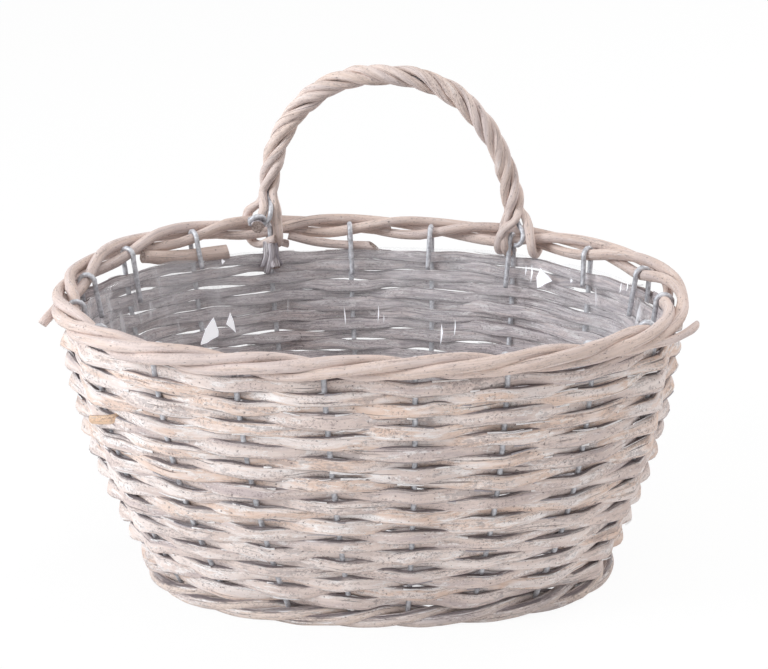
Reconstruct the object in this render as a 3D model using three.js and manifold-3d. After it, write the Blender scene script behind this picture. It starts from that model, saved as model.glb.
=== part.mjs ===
// Willow wall basket on wire stakes, with a roped handle on its back rim and a film liner.
// Millimetres, +Z up, the front faces -Y. The origin is on the floor, under the middle of the whole basket.

import * as THREE from 'three';
import Module from 'manifold-3d';
import { mergeVertices } from 'three/addons/utils/BufferGeometryUtils.js';

const wasm = await Module();
wasm.setup();

// Outline of the basket, measured on the line of its stakes
const rimHalfWidth = 194;
const rimHalfDepth = 137;
const rimHeight = 189;
const baseHalfWidth = 145;
const baseHalfDepth = 84;
const baseShiftRight = 8;
const baseShiftFront = 8;
const frontSquareness = 2.35;
const backSquareness = 2.2;
const baseSquareness = 2.2;
const wallBulge = 0.21;
const backRise = 2.5;
const backSlope = 5;

// Stakes and their hooks
const stakePairs = 9;
const wireRadius = 1.35;
const clearance = 0.3;
const stakeShift = 0.015;
const stakeCrowding = -0.04;
const hookTail = 19;
const stakeToFloor = 1.2;
const hookSections = 6;

// Split rods of the wall
const rows = 22;
const rodWidth = 7;
const rodThickness = 3.6;
const rodRounding = 0.56;
const firstWovenBay = 8;
const baysPerRod = 20;
const climbBays = 3;
const rowClearance = 0.45;
const backDrop = 5;

// Round rods of the rim and of the foot border
const strandCount = 3;
const rimRodRadius = 3.65;
const footRodRadius = 3.1;
const twistStretch = 1.04;
const footWear = 0.5;

// Handle
const leftFootStake = 10;
const rightFootStake = 7;
const handleRise = 113;
const leftArchSquareness = 2.4;
const rightArchSquareness = 2.15;
const handleRods = 4;
const handleRodRadius = 2.8;
const handleTwistSteps = 16;
const handleSections = 36;
const bundleHeight = 19;
const footSpread = 13;
const footGrip = 9;
const coreBeside = 5.5;

// Base and liner
const baseThickness = 6.8;
const baseStickRadius = 2.2;
const baseSticks = 5;
const baseStickSpacing = 42;
const filmThickness = 0.8;
const linerCorner = 9;
const linerBelowRim = 0.7;

// Sizes that follow from the ones above
const stakeCount = 2 * stakePairs + 1;
const sectionsPerBay = 2;
const around = stakeCount * sectionsPerBay;
const weaveReach = wireRadius + clearance + rodThickness / 2;
const rimRing = ringAround(rimRodRadius);
const footRing = ringAround(footRodRadius);
const footHeight = footRing.high + footRodRadius - footWear;
const weaveBottom = footHeight + footRing.high + footRodRadius + rowClearance;
const weaveTop = rimHeight - rimRing.high - rimRodRadius - rowClearance;
const rowPitch = (weaveTop - weaveBottom) / rows;

// Finishes
const willow = finish(0xcdb9a6, 0.85, 0);
const rimWillow = finish(0xcfb597, 0.8, 0);
const handleWillow = finish(0xc4ae9a, 0.8, 0);
const baseWillow = finish(0xb5a494, 0.9, 0);
const wire = finish(0x8b939b, 0.45, 0.8);
const film = finish(0xe4eaee, 0.12, 0);
film.transparent = true;
film.opacity = 0.35;

function finish(color, roughness, metalness) {
  return new THREE.MeshStandardMaterial({ color, roughness, metalness });
}

// How far three rods stand from their common middle: a wire passes between one of them and the other two
function ringAround(rodRadius) {
  const reach = rodRadius + wireRadius + clearance;
  const wide = reach * 4 / 3;
  const high = (rodRadius * twistStretch + clearance / 2) / Math.sin(Math.PI / strandCount);
  return { reach, wide, high, middle: wide - reach };
}

// Angle around the rim for a share of its length, starting at the middle of the front
const angleSamples = 1440;
const lengthSoFar = [0];
for (let i = 1; i <= angleSamples; i++) {
  const a = rimOutline(i - 1);
  const b = rimOutline(i);
  lengthSoFar.push(lengthSoFar[i - 1] + Math.hypot(b[0] - a[0], b[1] - a[1]));
}
const rimLength = lengthSoFar[angleSamples];
const endGap = clearance / rimLength * stakeCount;

function rimOutline(sample) {
  const angle = -Math.PI / 2 + 2 * Math.PI * sample / angleSamples;
  return outline(angle, rimHalfWidth, rimHalfDepth, frontSquareness, backSquareness);
}

function outline(angle, halfWidth, halfDepth, front, back) {
  const c = Math.cos(angle);
  const s = Math.sin(angle);
  const power = 2 / (s < 0 ? front : back);
  return [halfWidth * Math.sign(c) * Math.abs(c) ** power, halfDepth * Math.sign(s) * Math.abs(s) ** power];
}

function angleAt(share) {
  const turn = Math.floor(share);
  const length = (share - turn) * rimLength;
  let i = 1;
  while (lengthSoFar[i] < length) i++;
  const part = (length - lengthSoFar[i - 1]) / (lengthSoFar[i] - lengthSoFar[i - 1]);
  return -Math.PI / 2 + 2 * Math.PI * (turn + (i - 1 + part) / angleSamples);
}

// Share of the rim's length at a count of bays, a bay being the space between two stakes
function shareAt(bays) {
  const turn = bays / stakeCount;
  const swing = 2 * Math.PI * turn;
  return turn + stakeShift * (1 - Math.cos(swing)) / 2 + stakeCrowding * Math.sin(swing) / (2 * Math.PI);
}

// A point of the wall's middle surface
function wallPoint(bays, height) {
  const level = height / rimHeight;
  const spread = level + wallBulge * Math.sin(Math.PI * level);
  const halfWidth = THREE.MathUtils.lerp(baseHalfWidth, rimHalfWidth, spread);
  const halfDepth = THREE.MathUtils.lerp(baseHalfDepth, rimHalfDepth, spread);
  const front = THREE.MathUtils.lerp(baseSquareness, frontSquareness, level);
  const back = THREE.MathUtils.lerp(baseSquareness, backSquareness, level);
  const [x, y] = outline(angleAt(shareAt(bays)), halfWidth, halfDepth, front, back);
  return new THREE.Vector3(x + baseShiftRight * (1 - level), y - baseShiftFront * (1 - level), height);
}

// The wall's own directions at a point: along it anticlockwise, up its slope and straight out of it
function wallFrame(bays, height) {
  const step = 0.02;
  const rise = wireRadius;
  const at = wallPoint(bays, height);
  const along = wallPoint(bays + step, height).sub(wallPoint(bays - step, height)).normalize();
  const slope = wallPoint(bays, height + rise).sub(wallPoint(bays, height - rise));
  const out = along.clone().cross(slope).normalize();
  const up = out.clone().cross(along);
  return { at, along, up, out };
}

function inFrame(frame, out, up, along = 0) {
  return frame.at.clone().addScaledVector(frame.out, out).addScaledVector(frame.up, up)
    .addScaledVector(frame.along, along);
}

// How far round to the back a place is, from 0 on the front half to 1 at the middle of the back
function backShare(bays) {
  return THREE.MathUtils.smoothstep(wallPoint(bays, rimHeight).y, 0, rimHalfDepth);
}

// The rim stands higher at the back, and there it falls from left to right
function rimHeightAt(bays) {
  const x = wallPoint(bays, rimHeight).x;
  return rimHeight + backShare(bays) * (backRise - backSlope * x / rimHalfWidth);
}

function rimFrame(bays) {
  return wallFrame(bays, rimHeightAt(bays));
}

function footFrame(bays) {
  return wallFrame(bays, footHeight);
}

// A path with one section at each of its points; beyond are the points where the next rods go on
class PointPath extends THREE.Curve {
  constructor(points, sides, beyond) {
    super();
    this.points = points;
    this.sides = sides;
    this.beyond = beyond;
  }

  get sections() {
    return this.points.length - 1;
  }

  getPointAt(share) {
    return this.points[Math.round(share * this.sections)].clone();
  }

  getTangentAt(share) {
    const i = Math.round(share * this.sections);
    const here = this.points[i];
    const before = this.points[i - 1] ?? this.beyond[0];
    const after = this.points[i + 1] ?? this.beyond[1];
    const tangent = new THREE.Vector3();
    if (before) tangent.add(here.clone().sub(before).normalize());
    if (after) tangent.add(after.clone().sub(here).normalize());
    return tangent.normalize();
  }

  computeFrenetFrames(segments, closed) {
    if (!this.sides) return super.computeFrenetFrames(segments, closed);
    const tangents = this.points.map((_, i) => this.getTangentAt(i / segments));
    const binormals = tangents.map((tangent, i) => tangent.clone().cross(this.sides[i]).normalize());
    const normals = tangents.map((tangent, i) => binormals[i].clone().cross(tangent));
    return { tangents, normals, binormals };
  }
}

function roundSection(radius, sides) {
  const corners = [];
  for (let i = 0; i < sides; i++) {
    const angle = 2 * Math.PI * i / sides;
    corners.push(new THREE.Vector2(radius * Math.cos(angle), radius * Math.sin(angle)));
  }
  return new THREE.Shape(corners);
}

function splitSection(width, thickness) {
  const flat = width / 2;
  const crown = flat * rodRounding;
  const half = thickness / 2;
  return new THREE.Shape([
    new THREE.Vector2(-half, -flat),
    new THREE.Vector2(half, -crown),
    new THREE.Vector2(half, crown),
    new THREE.Vector2(-half, flat),
  ]);
}

function sweep(section, points, sides = null, beyond = []) {
  const path = new PointPath(points, sides, beyond);
  return new THREE.ExtrudeGeometry(section, { steps: path.sections, extrudePath: path, curveSegments: 1 });
}

// Booleans, used where something is cut flat
function solidOf(geometry) {
  const loose = geometry.index ? geometry.toNonIndexed() : geometry;
  const bare = new THREE.BufferGeometry();
  bare.setAttribute('position', loose.getAttribute('position').clone());
  const merged = mergeVertices(bare, 1e-4);
  const vertProperties = new Float32Array(merged.getAttribute('position').array);
  const triVerts = new Uint32Array(merged.getIndex().array);
  return new wasm.Manifold(new wasm.Mesh({ numProp: 3, vertProperties, triVerts }));
}

function geometryOf(solid) {
  const mesh = solid.getMesh();
  const geometry = new THREE.BufferGeometry();
  geometry.setAttribute('position', new THREE.BufferAttribute(new Float32Array(mesh.vertProperties), 3));
  geometry.setIndex(new THREE.BufferAttribute(new Uint32Array(mesh.triVerts), 1));
  geometry.computeVertexNormals();
  return geometry;
}

const basket = new THREE.Group();

function add(name, geometry, material) {
  const mesh = new THREE.Mesh(geometry, material);
  mesh.name = name;
  basket.add(mesh);
  return mesh;
}

function numbered(name, i) {
  return `${name}_${String(i + 1).padStart(2, '0')}`;
}

// Wire stakes: up through the foot border, the wall and the rim, over its inner rod and down inside
function stake(i) {
  const bays = i + 0.5;
  const points = [wallPoint(bays, stakeToFloor), wallPoint(bays, footHeight)];
  const risers = 8;
  for (let k = 0; k < risers; k++) {
    points.push(wallPoint(bays, THREE.MathUtils.lerp(weaveBottom, weaveTop, k / (risers - 1))));
  }
  const rim = rimFrame(bays);
  for (let k = 0; k <= hookSections; k++) {
    const angle = Math.PI * k / hookSections;
    const out = rimRing.reach * (Math.cos(angle) - 1);
    points.push(inFrame(rim, out, rimRing.reach * Math.sin(angle)));
  }
  points.push(inFrame(rim, -2 * rimRing.reach, -hookTail));
  return sweep(roundSection(wireRadius, 5), points);
}

// Height of the weave: rows that each step up to the next over the last bays of their turn, at the back,
// where they are also packed closer and leave a gap under the rim
function rowHeight(bays) {
  const woven = bays - firstWovenBay;
  const turn = Math.floor(woven / stakeCount);
  const climb = THREE.MathUtils.smoothstep(woven - turn * stakeCount, stakeCount - climbBays, stakeCount);
  const pitch = rowPitch - backDrop / rows * backShare(bays);
  return weaveBottom + pitch * (turn + 0.5 + climb);
}

// One split rod of the wall, in front of one stake and behind the next
function weaver(firstBay, lastBay) {
  const points = [];
  const sides = [];
  const steps = (lastBay - firstBay) * sectionsPerBay;
  for (let i = -1; i <= steps + 1; i++) {
    const bays = firstBay + i / sectionsPerBay;
    const ends = (i === 0 ? endGap : 0) - (i === steps ? endGap : 0);
    const frame = wallFrame(bays + ends, rowHeight(bays));
    points.push(inFrame(frame, weaveReach * Math.sin(Math.PI * bays), 0));
    sides.push(frame.out);
  }
  const beyond = [points.shift(), points.pop()];
  return sweep(splitSection(rodWidth, rodThickness), points, sides.slice(1, -1), beyond);
}

// Place of one strand in the twist of three: at each stake one of them lies inside and two outside
function strandPlace(ring, strand, bays) {
  const angle = Math.PI + 2 * Math.PI * (bays - 0.5 + strand) / strandCount;
  return { out: ring.middle + ring.wide * Math.cos(angle), up: ring.high * Math.sin(angle) };
}

function strand(ring, frameAt, which, radius, sides) {
  const points = [];
  for (let i = -1; i <= around + 1; i++) {
    const bays = i / sectionsPerBay;
    const ends = (i === 0 ? endGap : 0) - (i === around ? endGap : 0);
    const place = strandPlace(ring, which, bays);
    points.push(inFrame(frameAt(bays + ends), place.out, place.up));
  }
  const beyond = [points.shift(), points.pop()];
  return sweep(roundSection(radius, sides), points, null, beyond);
}

// The foot border is worn flat where it stands
function footStrand(which) {
  const rod = solidOf(strand(footRing, footFrame, which, footRodRadius, 6));
  const floor = new THREE.BoxGeometry(4 * rimHalfWidth, 4 * rimHalfDepth, 2 * rimHeight);
  floor.translate(0, 0, -rimHeight);
  return geometryOf(rod.subtract(solidOf(floor)));
}

// A closed outline at a height, a distance in from the sloping wall, with the weave's own corners
function insetOutline(height, inset) {
  const corners = [];
  for (let i = 0; i < around; i++) {
    const bays = i / sectionsPerBay;
    const frame = wallFrame(bays, height);
    const flat = new THREE.Vector2(frame.out.x, frame.out.y);
    const inwards = flat.clone().multiplyScalar(-inset / flat.lengthSq());
    corners.push(new THREE.Vector2(frame.at.x, frame.at.y).add(inwards));
  }
  return corners;
}

const basePlace = footHeight + wireRadius;
const baseInset = footRing.reach + footRodRadius + clearance;

function baseWeave() {
  const outlineHere = new THREE.Shape(insetOutline(footHeight, baseInset));
  const slab = new THREE.ExtrudeGeometry(outlineHere, { depth: baseThickness, bevelEnabled: false });
  slab.translate(0, 0, basePlace);
  return slab;
}

// Sticks under the base weave, from the front of the foot border to its back
function baseStick(i) {
  const x = (i - (baseSticks - 1) / 2) * baseStickSpacing + baseShiftRight;
  const corners = insetOutline(footHeight, baseInset + baseStickRadius);
  const crossings = [];
  corners.forEach((corner, k) => {
    const next = corners[(k + 1) % corners.length];
    if ((corner.x - x) * (next.x - x) > 0) return;
    const part = (x - corner.x) / (next.x - corner.x);
    crossings.push(corner.y + part * (next.y - corner.y));
  });
  const near = Math.min(...crossings);
  const far = Math.max(...crossings);
  const stick = new THREE.CylinderGeometry(baseStickRadius, baseStickRadius, far - near, 8);
  stick.translate(x, (near + far) / 2, basePlace - clearance - baseStickRadius);
  return stick;
}

// Film liner: an open cup that follows the inside of the weave
function liner() {
  const floor = basePlace + baseThickness + clearance;
  const top = weaveTop + rowClearance - linerBelowRim;
  const outside = weaveReach + rodThickness / 2 + clearance;
  const inside = outside + filmThickness;
  const inner = floor + filmThickness;
  const levels = [0.25, 0.5, 0.75, 1].map((part) => THREE.MathUtils.lerp(floor + linerCorner, top, part));
  const rings = [
    { height: floor, reach: 0 },
    { height: floor, inset: outside + linerCorner },
    { height: floor + linerCorner * 0.3, inset: outside + linerCorner * 0.3 },
    { height: floor + linerCorner, inset: outside },
    ...levels.map((height) => ({ height, inset: outside })),
    ...levels.reverse().map((height) => ({ height, inset: inside })),
    { height: inner + linerCorner, inset: inside },
    { height: inner + linerCorner * 0.3, inset: inside + linerCorner * 0.3 },
    { height: inner, inset: inside + linerCorner },
    { height: inner, reach: 0 },
  ];
  const profile = rings.map((ring, i) => new THREE.Vector2(ring.reach === 0 ? 0 : 1, i));
  const cup = new THREE.LatheGeometry(profile, around);
  const outlines = rings.map((ring) => (ring.reach === 0 ? null : insetOutline(ring.height, ring.inset)));
  const place = cup.getAttribute('position');
  for (let i = 0; i < place.count; i++) {
    const ring = i % rings.length;
    const corner = Math.floor(i / rings.length) % around;
    const at = outlines[ring] ? outlines[ring][corner] : new THREE.Vector2(baseShiftRight, -baseShiftFront);
    place.setXYZ(i, at.x, at.y, rings[ring].height);
  }
  return cup;
}

// Handle: its two feet on the rim, and the arch between them
const feet = [leftFootStake, rightFootStake].map((i, side) => {
  const frame = rimFrame(i + 0.5);
  const away = side === 0 ? 1 : -1;
  return { bays: i + 0.5, frame, away, middle: inFrame(frame, rimRing.middle, 0) };
});
const archBack = archDirection().cross(new THREE.Vector3(0, 0, 1)).negate().normalize();
const arch = archCurve();
const bundleShare = bundleHeight / arch.getLength();
const handleRing = Math.max(
  wireRadius + clearance + handleRodRadius,
  (handleRodRadius * twistStretch + clearance) / Math.sin(Math.PI / handleRods),
);

function archDirection() {
  return feet[1].middle.clone().sub(feet[0].middle);
}

function archCurve() {
  const samples = 60;
  const points = [];
  for (let i = 0; i <= samples; i++) {
    const angle = Math.PI * i / samples;
    const c = Math.cos(angle);
    const power = 2 / (c > 0 ? leftArchSquareness : rightArchSquareness);
    const across = (1 - Math.sign(c) * Math.abs(c) ** power) / 2;
    const point = feet[0].middle.clone().lerp(feet[1].middle, across);
    point.z += handleRise * Math.sin(angle) ** power;
    points.push(point);
  }
  return new THREE.CatmullRomCurve3(points);
}

// A place round the handle's axis
function archPlace(share, radius, angle) {
  const tangent = arch.getTangentAt(share);
  const outwards = tangent.cross(archBack).normalize();
  return arch.getPointAt(share).addScaledVector(archBack, radius * Math.cos(angle))
    .addScaledVector(outwards, radius * Math.sin(angle));
}

function bundlePoints(radius, startAngle, twist) {
  const points = [];
  for (let i = 0; i <= handleSections; i++) {
    const share = THREE.MathUtils.lerp(bundleShare, 1 - bundleShare, i / handleSections);
    points.push(archPlace(share, radius, startAngle + twist * i / handleSections));
  }
  return points;
}

// A handle rod comes down beside the rim, inside or outside it, and grips it; from the handle to the tip
function gripPoints(foot, slot) {
  const angle = 2 * Math.PI * (slot + 0.5) / handleRods;
  const aside = footSpread * Math.sign(Math.round(100 * Math.sin(angle))) * foot.away;
  const inside = Math.cos(angle) < 0 ? -1 : 1;
  const reach = rimRing.wide + rimRodRadius + handleRodRadius + 2 * clearance;
  const high = rimRing.high + rimRodRadius + handleRodRadius;
  const place = (out, up, spread) => inFrame(foot.frame, rimRing.middle + inside * out, up, aside * spread);
  return [
    place(reach * 0.72, high * 1.06, 0.75),
    place(reach * 1.04, high * 0.3, 1),
    place(reach * 1.04, -footGrip, 1),
  ];
}

function handleRod(i) {
  const step = 2 * Math.PI / handleRods;
  const middle = bundlePoints(handleRing, step * (i + 0.5), step * handleTwistSteps);
  const points = [
    ...gripPoints(feet[0], i).reverse(),
    ...middle,
    ...gripPoints(feet[1], (i + handleTwistSteps) % handleRods),
  ];
  return sweep(roundSection(handleRodRadius, 5), points);
}

// The core wire hooks under the rim's inner rod, beside the stake's own hook; from the handle to the tip
function coreHook(foot) {
  const beside = coreBeside * foot.away;
  const bays = foot.bays + beside / rimLength * stakeCount;
  const inner = (strandCount - Math.round(foot.bays - 0.5) % strandCount) % strandCount;
  const frame = rimFrame(bays);
  const rod = strandPlace(rimRing, inner, bays);
  const points = [
    inFrame(foot.frame, -wireRadius, rimRing.high + rimRodRadius + 2 * wireRadius, beside / 2),
    inFrame(frame, rod.out - rimRing.reach, rod.up + rimRing.reach),
  ];
  for (let k = 0; k <= hookSections; k++) {
    const angle = Math.PI + Math.PI * k / hookSections;
    const out = rod.out + rimRing.reach * Math.cos(angle);
    points.push(inFrame(frame, out, rod.up + rimRing.reach * Math.sin(angle)));
  }
  return points;
}

function handleCore() {
  const points = [...coreHook(feet[0]).reverse(), ...bundlePoints(0, 0, 0), ...coreHook(feet[1])];
  return sweep(roundSection(wireRadius, 5), points);
}

for (let i = 0; i < stakeCount; i++) add(numbered('stake', i), stake(i), wire);

const lastWovenBay = firstWovenBay + rows * stakeCount - climbBays;
for (let first = firstWovenBay, i = 0; first < lastWovenBay; first += baysPerRod, i++) {
  add(numbered('weaver', i), weaver(first, Math.min(first + baysPerRod, lastWovenBay)), willow);
}

for (let i = 0; i < strandCount; i++) {
  add(`rim_strand_${i + 1}`, strand(rimRing, rimFrame, i, rimRodRadius, 6), rimWillow);
  add(`foot_strand_${i + 1}`, footStrand(i), baseWillow);
}

add('base_weave', baseWeave(), baseWillow);
for (let i = 0; i < baseSticks; i++) add(`base_stick_${i + 1}`, baseStick(i), baseWillow);
add('liner', liner(), film);
add('handle_core_wire', handleCore(), wire);
for (let i = 0; i < handleRods; i++) add(`handle_rod_${i + 1}`, handleRod(i), handleWillow);

// The basket's middle goes over the origin
const box = new THREE.Box3().setFromObject(basket);
const middle = box.getCenter(new THREE.Vector3());
basket.position.set(-middle.x, -middle.y, -box.min.z);

export default basket;
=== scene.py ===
import math
from math import pi

import bpy
import numpy as np
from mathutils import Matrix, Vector


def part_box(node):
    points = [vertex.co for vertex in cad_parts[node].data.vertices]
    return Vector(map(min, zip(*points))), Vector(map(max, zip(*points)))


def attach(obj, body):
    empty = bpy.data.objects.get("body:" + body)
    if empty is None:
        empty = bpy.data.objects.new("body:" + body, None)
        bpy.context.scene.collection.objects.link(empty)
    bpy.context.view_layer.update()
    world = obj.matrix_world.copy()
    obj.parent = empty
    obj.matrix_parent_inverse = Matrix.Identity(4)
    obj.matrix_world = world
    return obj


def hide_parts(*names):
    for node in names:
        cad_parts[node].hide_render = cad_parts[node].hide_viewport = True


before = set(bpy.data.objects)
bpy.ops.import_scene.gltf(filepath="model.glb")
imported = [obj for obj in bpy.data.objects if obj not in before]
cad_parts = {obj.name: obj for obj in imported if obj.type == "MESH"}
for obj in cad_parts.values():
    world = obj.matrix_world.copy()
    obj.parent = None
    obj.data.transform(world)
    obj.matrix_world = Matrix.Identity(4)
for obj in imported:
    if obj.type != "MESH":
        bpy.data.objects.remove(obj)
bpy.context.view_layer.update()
scene = bpy.context.scene
mm = 0.001

wall = {
    "rimHalfWidth": 194 * mm, "rimHalfDepth": 137 * mm, "rimHeight": 189 * mm,
    "baseHalfWidth": 145 * mm, "baseHalfDepth": 84 * mm, "baseShiftRight": 8 * mm,
    "shownShiftRight": 6 * mm, "baseShiftFront": 8 * mm, "frontSquareness": 2.35,
    "backSquareness": 2.2, "baseSquareness": 2.2, "bulge": 0.21, "backRise": 2.5 * mm,
    "backSlope": 5 * mm,
}
stake = {
    "count": 19, "radius": 1.35 * mm, "shownRadius": 1.75 * mm, "clearance": 0.3 * mm,
    "shift": 0.015, "crowding": -0.04, "hookTail": 19 * mm, "tailShares": [1.4, 1.0, 1.6, 1.2, 1.5],
    "toFloor": 1.2 * mm, "sides": 10,
}
weave = {
    "rows": 22, "firstBay": 8, "baysPerNode": 20, "baysPerRod": 10, "climbBays": 3,
    "backDrop": 5 * mm, "rowClearance": 0.45 * mm, "rodThickness": 3.6 * mm,
    "shownThickness": 4.2 * mm, "crownWidth": 9.4 * mm, "crossingWidth": 10.2 * mm,
    "behindWidth": 11.4 * mm, "outwards": 0.8, "inwards": 0.8, "backNarrowing": 0.2,
    "endBulge": 0.8, "endWidening": 0.28, "leftNarrowing": 0.16, "footWidening": 0.2,
    "overhang": 0.14, "endOverhang": 0.3, "unevenHeight": (0.08, 1.2 * mm),
    "unevenReach": (0.09, 0.35 * mm), "unevenWidth": (0.11, 0.11), "unevenThickness": (0.07, 0.1),
    "unevenRoll": (0.14, 0.17),
    "cutEnd": {"node": 15, "bays": (15.76, 15.4), "heights": (137 * mm, 133.5 * mm), "out": 9 * mm,
               "width": 6.2 * mm},
    "endDrop": 1.2 * mm, "endTuck": 0.9 * mm, "lowerRowsUp": 3 * mm, "overlap": 0.3, "taper": 0.55,
    "sides": 18, "sectionsPerBay": 10,
}
border = {
    "strands": 3, "rimRadius": 3.65 * mm, "footRadius": 3.1 * mm, "twistStretch": 1.04,
    "footWear": 0.5 * mm, "shownFootRadius": 4.0 * mm, "footTightness": 0.8,
    "footOutwards": 0.4 * mm, "rimTilt": 22, "rimTightness": 0.88, "rimStretch": 1.04,
    "outerDwell": 0.4, "sides": 16, "sectionsPerBay": 9, "unevenOut": (0.12, 0.35 * mm),
    "unevenUp": (0.15, 0.35 * mm), "unevenGirth": (0.1, 0.07),
}

# The wall's surface
sampleAngles = -pi / 2 + 2 * pi * np.linspace(0, 1, 1441)


def outline(angle, halfWidth, halfDepth, front, back):
    c, s = np.cos(angle), np.sin(angle)
    power = 2 / np.where(s < 0, front, back)
    return halfWidth * np.sign(c) * np.abs(c) ** power, halfDepth * np.sign(s) * np.abs(s) ** power


rimX, rimY = outline(sampleAngles, wall["rimHalfWidth"], wall["rimHalfDepth"],
                     wall["frontSquareness"], wall["backSquareness"])
lengthSoFar = np.concatenate([[0], np.cumsum(np.hypot(np.diff(rimX), np.diff(rimY)))])
rimLength = lengthSoFar[-1]
bayLength = rimLength / stake["count"]


def angleAt(bays):
    turn = bays / stake["count"]
    swing = 2 * pi * turn
    share = turn + stake["shift"] * (1 - np.cos(swing)) / 2
    share = share + stake["crowding"] * np.sin(swing) / (2 * pi)
    whole = np.floor(share)
    return np.interp((share - whole) * rimLength, lengthSoFar, sampleAngles) + 2 * pi * whole


def between(low, high, share):
    return low + (high - low) * share


def wallPoint(bays, height):
    level = height / wall["rimHeight"]
    spread = level + wall["bulge"] * np.sin(pi * level)
    halfWidth = between(wall["baseHalfWidth"], wall["rimHalfWidth"], spread)
    halfDepth = between(wall["baseHalfDepth"], wall["rimHalfDepth"], spread)
    front = between(wall["baseSquareness"], wall["frontSquareness"], level)
    back = between(wall["baseSquareness"], wall["backSquareness"], level)
    x, y = outline(angleAt(bays), halfWidth, halfDepth, front, back)
    x = x + wall["baseShiftRight"] * (1 - level)
    y = y - wall["baseShiftFront"] * (1 - level)
    return np.stack([x, y, height + 0 * x], -1) + middle


def unit(v):
    return v / np.linalg.norm(v, axis=-1, keepdims=True)


def lengthsAlong(points):
    return np.concatenate([[0], np.cumsum(np.linalg.norm(np.diff(points, axis=0), axis=1))])


def pointsAt(where, lengths, curve):
    return np.stack([np.interp(where, lengths, np.array(curve)[:, k]) for k in range(3)], -1)


# along runs anticlockwise, up runs up the slope and out stands straight out of the wall
def wallFrame(bays, height):
    bays, height = np.broadcast_arrays(np.asarray(bays, float), np.asarray(height, float))
    along = unit(wallPoint(bays + 0.02, height) - wallPoint(bays - 0.02, height))
    slope = wallPoint(bays, height + mm) - wallPoint(bays, height - mm)
    out = unit(np.cross(along, slope))
    return {"at": wallPoint(bays, height), "along": along, "up": np.cross(out, along), "out": out}


def inFrame(place, out, up, along=0):
    out, up, along = (np.asarray(v, float)[..., None] for v in (out, up, along))
    return place["at"] + place["out"] * out + place["up"] * up + place["along"] * along


def smoothstep(x, low, high):
    t = np.clip((x - low) / (high - low), 0, 1)
    return t * t * (3 - 2 * t)


# Stake 1's own lower end in the frame shows where the basket's middle stands
middle = np.zeros(3)
lowEnd = np.unique(np.array([v.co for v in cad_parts["stake_01"].data.vertices]).round(6), axis=0)
lowEnd = lowEnd[lowEnd[:, 2] < 3 * mm].mean(0)
middle = (lowEnd - wallPoint(0.5, stake["toFloor"])) * (1, 1, 0)
wall["baseShiftRight"] = wall["shownShiftRight"]
print("basket middle", middle)


def ringAround(rodRadius):
    reach = rodRadius + stake["radius"] + stake["clearance"]
    wide = reach * 4 / 3
    high = rodRadius * border["twistStretch"] + stake["clearance"] / 2
    high = high / math.sin(pi / border["strands"])
    return {"reach": reach, "wide": wide, "high": high, "middle": wide - reach}


rimRing = ringAround(border["rimRadius"])
footRing = ringAround(border["footRadius"])
footHeight = footRing["high"] + border["footRadius"] - border["footWear"]
weaveBottom = footHeight + footRing["high"] + border["footRadius"] + weave["rowClearance"]
weaveTop = wall["rimHeight"] - rimRing["high"] - border["rimRadius"] - weave["rowClearance"]
rowPitch = (weaveTop - weaveBottom) / weave["rows"]
weaveReach = stake["radius"] + stake["clearance"] + weave["rodThickness"] / 2


def backShare(bays):
    return smoothstep(wallPoint(bays, wall["rimHeight"])[..., 1] - middle[1], 0, wall["rimHalfDepth"])


# The rim's twist leans inwards, so that its outer rods stand higher than the wire hooks behind them
def rimFrame(bays):
    x = wallPoint(bays, wall["rimHeight"])[..., 0] - middle[0]
    lift = backShare(bays) * (wall["backRise"] - wall["backSlope"] * x / wall["rimHalfWidth"])
    place = wallFrame(bays, wall["rimHeight"] + lift)
    lean = math.radians(border["rimTilt"])
    out = place["out"] * math.cos(lean) + place["up"] * math.sin(lean)
    up = place["up"] * math.cos(lean) - place["out"] * math.sin(lean)
    return {"at": place["at"], "along": place["along"], "up": up, "out": out}


def footFrame(bays):
    return wallFrame(bays, footHeight)


# Slow unevenness along a rod, between about -size and size. Settings give its wavelength and its size.
def waver(rng, distance, wavelength, size):
    total = 0 * distance
    for octave in range(3):
        phase = rng.uniform(0, 2 * pi)
        total = total + np.sin(2 * pi * distance * 1.7 ** octave / wavelength + phase) / 1.6 ** octave
    return total * size / 2


# Materials
def tone(color):
    linear = [c / 12.92 if c <= 0.04045 else ((c + 0.055) / 1.055) ** 2.4 for c in (v / 255 for v in color)]
    return (*linear, 1)


# A socket carries its own node tree, so that only the first nodes need to be given one
def fill(node, inputs):
    for key, value in inputs.items():
        if isinstance(value, bpy.types.NodeSocket):
            node.id_data.links.new(value, node.inputs[key])
        else:
            node.inputs[key].default_value = value


def addNode(tree, kind, inputs=None, **settings):
    node = tree.nodes.new("ShaderNode" + kind)
    for key, value in settings.items():
        setattr(node, key, value)
    fill(node, inputs or {})
    return node


def newMaterial(name):
    material = bpy.data.materials.new(name)
    material.use_nodes = True
    return material, material.node_tree, material.node_tree.nodes["Principled BSDF"]


def objectSpace(tree):
    return addNode(tree, "TexCoord").outputs["Object"]


def calc(operation, a, b=0.0):
    return addNode(a.id_data, "Math", {0: a, 1: b}, operation=operation).outputs[0]


def times(a, b):
    return calc("MULTIPLY", a, b)


def fade(value, low, high, top=1.0, bottom=0.0):
    inputs = {"Value": value, "From Min": low, "From Max": high, "To Min": bottom, "To Max": top}
    return addNode(value.id_data, "MapRange", inputs).outputs[0]


def colorRamp(value, stops):
    node = addNode(value.id_data, "ValToRGB", {"Fac": value})
    elements = node.color_ramp.elements
    while len(elements) < len(stops):
        elements.new(0.5)
    for element, (place, color) in zip(elements, stops):
        element.position = place
        element.color = tone(color)
    return node.outputs["Color"]


def mixColor(factor, a, b, blend="MIX"):
    inputs = {"Factor": factor, 6: a, 7: tone(b) if isinstance(b, tuple) else b}
    return addNode(a.id_data, "Mix", inputs, data_type="RGBA", blend_type=blend).outputs[2]


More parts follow.
